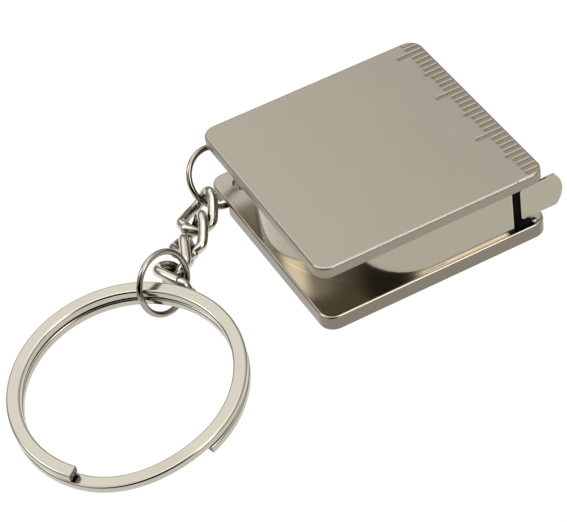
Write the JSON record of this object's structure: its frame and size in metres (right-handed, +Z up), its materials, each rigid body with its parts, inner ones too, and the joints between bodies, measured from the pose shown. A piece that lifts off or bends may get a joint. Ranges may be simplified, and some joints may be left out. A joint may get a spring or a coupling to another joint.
{
  "type": "keychain tape measure",
  "caption": "Square metal pocket tape measure with a ruled edge, a spring-return tape, a short chain and a split ring.",
  "frame": {"origin": "centre of the bottom plate's underside", "axes": "+Z up through the plates, +X along the edge that the tape runs out beside, +Y towards the corner that carries the chain"},
  "size_m": [0.0761, 0.0451, 0.0107],
  "materials": {
    "satin_plate": "satin nickel plate with bright edges",
    "bright_wall": "semi-bright nickel-plated strip",
    "steel": "turned steel",
    "reel_plastic": "moulded black",
    "brass": "turned",
    "spring_steel": "blued strip",
    "tape_paint": "lacquered steel tape",
    "plated_tab": "nickel-plated sheet",
    "bright_wire": "polished nickel-plated wire",
    "bright_band": "polished nickel-plated flat wire"
  },
  "bodies": {
    "case": {"bottom_plate": "satin_plate", "top_plate": "satin_plate", "housing_wall": "bright_wall", "arbor": "steel", "centre_screw": "steel", "lower_washer": "steel", "upper_washer": "steel", "guide_post": "steel", "exit_pin": "bright_wire"},
    "reel": {"reel_drum": "reel_plastic", "reel_bushing": "brass", "reel_flange": "reel_plastic", "spring_pin": "steel", "power_spring": "spring_steel", "tape_coil": "tape_paint"},
    "tape_end": {"tape_blade": "tape_paint", "end_tab": "plated_tab"},
    "case_ring": {"case_jump_ring": "bright_wire"},
    "link_1": {"chain_link_1": "bright_wire"},
    "link_2": {"chain_link_2": "bright_wire"},
    "link_3": {"chain_link_3": "bright_wire"},
    "link_4": {"chain_link_4": "bright_wire"},
    "key_jump": {"key_jump_ring": "bright_wire"},
    "key_ring": {"split_ring": "bright_band"}
  },
  "joints": [
    {"name": "reel_spin", "type": "hinge", "parent": "case", "child": "reel", "pos_m": [0, 0, 0], "axis": [0, 0, 1], "range_deg": [0, 3814], "stiffness_Nm_per_rad": 0.0001, "springref_deg": -2692.9, "deforming": ["power_spring"]},
    {"name": "tape_pull", "type": "slide", "parent": "case", "child": "tape_end", "axis": [1, 0, 0], "range_m": [0, 1], "deforming": ["tape_blade"]},
    {"name": "case_ring_flap", "type": "hinge", "parent": "case", "child": "case_ring", "pos_m": [-0.01275, 0.01295, 0.0021], "axis": [0.9583, 0.2857, 0], "range_deg": [-9, 7]},
    {"name": "link_1_swing", "type": "hinge", "parent": "case_ring", "child": "link_1", "pos_m": [-0.01918, 0.01187, 0.00309], "axis": [0.546, -0.4412, -0.7122], "range_deg": [-16, 30]},
    {"name": "link_2_swing", "type": "hinge", "parent": "link_1", "child": "link_2", "pos_m": [-0.02255, 0.00773, 0.00285], "axis": [-0.7689, 0.6178, 0.1649], "range_deg": [-16, 10]},
    {"name": "link_3_swing", "type": "hinge", "parent": "link_2", "child": "link_3", "pos_m": [-0.02561, 0.00446, 0.00288], "axis": [-0.7313, 0.6817, -0.0209], "range_deg": [-15, 20]},
    {"name": "link_4_swing", "type": "hinge", "parent": "link_3", "child": "link_4", "pos_m": [-0.02882, 0.00098, 0.00318], "axis": [-0.6278, 0.5305, -0.5696], "range_deg": [-25, 6]},
    {"name": "key_jump_swing", "type": "hinge", "parent": "link_4", "child": "key_jump", "pos_m": [-0.02863, -0.00176, 0.00277], "axis": [0.4806, 0.1642, -0.8614], "range_deg": [-3, 20]},
    {"name": "split_ring_flap", "type": "hinge", "parent": "key_jump", "child": "key_ring", "pos_m": [-0.03233, -0.00298, 0.00561], "axis": [-0.7202, 0.6928, -0.0355], "range_deg": [-10, 25]}
  ],
  "couplings": [
    {"joint": "tape_pull", "follows": "reel_spin", "m_per_rad": 0.01502}
  ]
}
